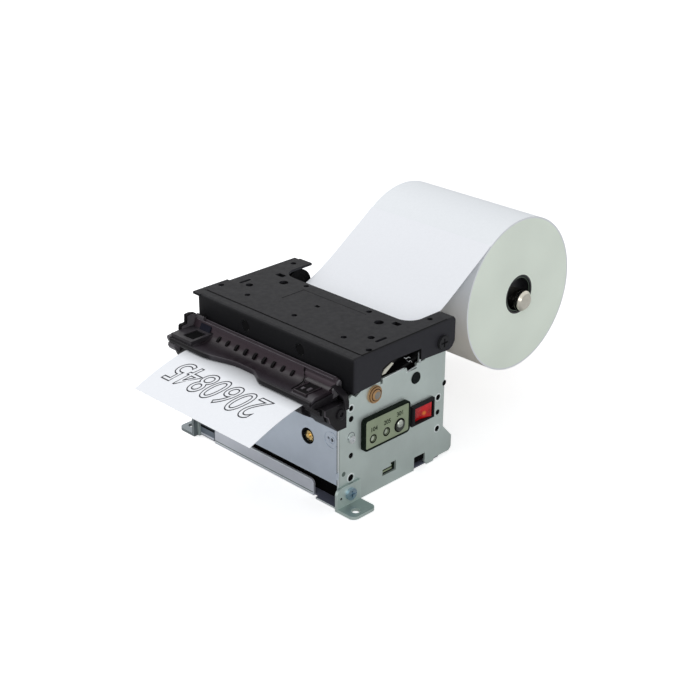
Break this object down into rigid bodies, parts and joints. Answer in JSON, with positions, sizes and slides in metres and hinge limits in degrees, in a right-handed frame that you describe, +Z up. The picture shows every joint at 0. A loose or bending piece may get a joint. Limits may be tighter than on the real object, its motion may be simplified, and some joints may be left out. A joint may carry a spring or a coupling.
{
  "type": "kiosk receipt printer",
  "caption": "Open-frame kiosk receipt printer with a hinged black cover, paper mouth, cutter, side controls and a rear paper roll on a spindle.",
  "frame": {"origin": "midway between the two mounting-foot holes, on the surface the printer stands on", "axes": "+X towards the side with the switch panel, +Y back towards the paper roll, +Z up"},
  "size_m": [0.124, 0.2212, 0.1031],
  "materials": {
    "zinc_steel": "satin",
    "black_steel": "satin",
    "bright_steel": "satin",
    "dark_tray": "satin",
    "brass": "satin",
    "rubber": "matt",
    "smoked_plastic": "gloss",
    "black_plastic": "matt",
    "white_plastic": "satin",
    "gear_plastic": "satin",
    "aluminium": "satin",
    "ceramic": "satin",
    "circuit_board": "satin",
    "status_face": "satin",
    "led_lens": "gloss",
    "red_plastic": "gloss",
    "silver_plastic": "satin",
    "paper": "matt",
    "chrome": "polished"
  },
  "bodies": {
    "frame": {"side_panel_right": "zinc_steel", "side_panel_left": "zinc_steel", "front_panel": "zinc_steel", "rear_panel": "zinc_steel", "base_tray": "dark_tray", "front_lip": "zinc_steel", "foot_bracket_right": "zinc_steel", "foot_bracket_left": "zinc_steel", "foot_screws": "bright_steel", "side_screws": "bright_steel", "cross_tie": "black_steel", "pivot_screws": "black_steel", "guide_lobes": "black_plastic", "guide_rod": "bright_steel", "paper_guide": "black_plastic", "paper_sensor": "black_plastic", "blade_guides": "black_plastic", "cutter_bracket": "zinc_steel", "cutter_motor": "bright_steel", "mouth_upper": "smoked_plastic", "mouth_lower": "smoked_plastic", "platen_bushes": "brass", "idler_stud": "bright_steel", "stepper_motor": "bright_steel", "motor_bracket": "zinc_steel", "control_board": "circuit_board", "board_standoffs": "brass", "usb_connector": "bright_steel", "serial_connector": "black_plastic", "power_connector": "black_plastic", "status_panel": "status_face", "status_board": "circuit_board", "status_leds": "led_lens", "switch_bezel": "black_plastic", "roll_hub": "black_plastic", "spindle": "chrome", "roll_bracket": "black_steel", "paper_web": "paper", "receipt": "paper"},
    "cover": {"top_cover": "black_steel", "fixed_blade": "bright_steel", "blade_screws": "black_steel", "latch_pin": "bright_steel", "head_springs": "bright_steel"},
    "head": {"print_head": "ceramic", "heat_sink": "aluminium"},
    "latch": {"latch_lever": "white_plastic"},
    "platen": {"platen_roller": "rubber", "platen_shaft": "bright_steel", "platen_gear": "gear_plastic", "e_clips": "brass"},
    "idler": {"idler_gear": "gear_plastic"},
    "motor_rotor": {"motor_pinion": "brass", "motor_shaft": "bright_steel"},
    "cutter": {"moving_blade": "bright_steel"},
    "cutter_rotor": {"cutter_pinion": "brass"},
    "button": {"feed_button": "silver_plastic"},
    "rocker": {"power_rocker": "red_plastic"},
    "roll": {"paper_roll": "paper", "roll_core": "black_plastic"}
  },
  "joints": [
    {"name": "cover_tilt", "type": "hinge", "parent": "frame", "child": "cover", "pos_m": [0, 0.061, 0.0643], "axis": [-1, 0, 0], "range_deg": [0, 65]},
    {"name": "head_float", "type": "slide", "parent": "cover", "child": "head", "axis": [0, 0, 1], "range_m": [0, 0.0006], "stiffness_N_per_m": 2000, "springref_m": -0.003, "deforming": ["head_springs"]},
    {"name": "latch_turn", "type": "hinge", "parent": "cover", "child": "latch", "pos_m": [0.05, 0.033, 0.068], "axis": [-1, 0, 0], "range_deg": [0, 12], "stiffness_Nm_per_rad": 0.05, "springref_deg": -17.19},
    {"name": "platen_spin", "type": "hinge", "parent": "frame", "child": "platen", "pos_m": [0, 0.0191, 0.051], "axis": [1, 0, 0], "continuous": true},
    {"name": "idler_spin", "type": "hinge", "parent": "frame", "child": "idler", "pos_m": [-0.046, 0.02767, 0.03404], "axis": [1, 0, 0], "continuous": true},
    {"name": "motor_spin", "type": "hinge", "parent": "frame", "child": "motor_rotor", "pos_m": [-0.046, 0.038, 0.027], "axis": [1, 0, 0], "continuous": true},
    {"name": "cutter_slide", "type": "slide", "parent": "frame", "child": "cutter", "axis": [0, 0, 1], "range_m": [0, 0.0055]},
    {"name": "cutter_spin", "type": "hinge", "parent": "frame", "child": "cutter_rotor", "pos_m": [0.0298, 0.003, 0.0303], "axis": [0, -1, 0], "range_deg": [0, 106]},
    {"name": "button_press", "type": "slide", "parent": "frame", "child": "button", "axis": [-1, 0, 0], "range_m": [0, 0.0008], "stiffness_N_per_m": 300, "springref_m": -0.001},
    {"name": "rocker_swing", "type": "hinge", "parent": "frame", "child": "rocker", "pos_m": [0.0486, 0.0514, 0.0305], "axis": [0, 0, 1], "range_deg": [0, 14]},
    {"name": "roll_spin", "type": "hinge", "parent": "frame", "child": "roll", "pos_m": [0, 0.1344, 0.0629], "axis": [1, 0, 0], "continuous": true}
  ],
  "couplings": [
    {"joint": "idler_spin", "follows": "platen_spin", "ratio": -1.1111},
    {"joint": "motor_spin", "follows": "platen_spin", "ratio": 2.8571},
    {"joint": "cutter_spin", "follows": "cutter_slide", "rad_per_m": 333.33}
  ]
}
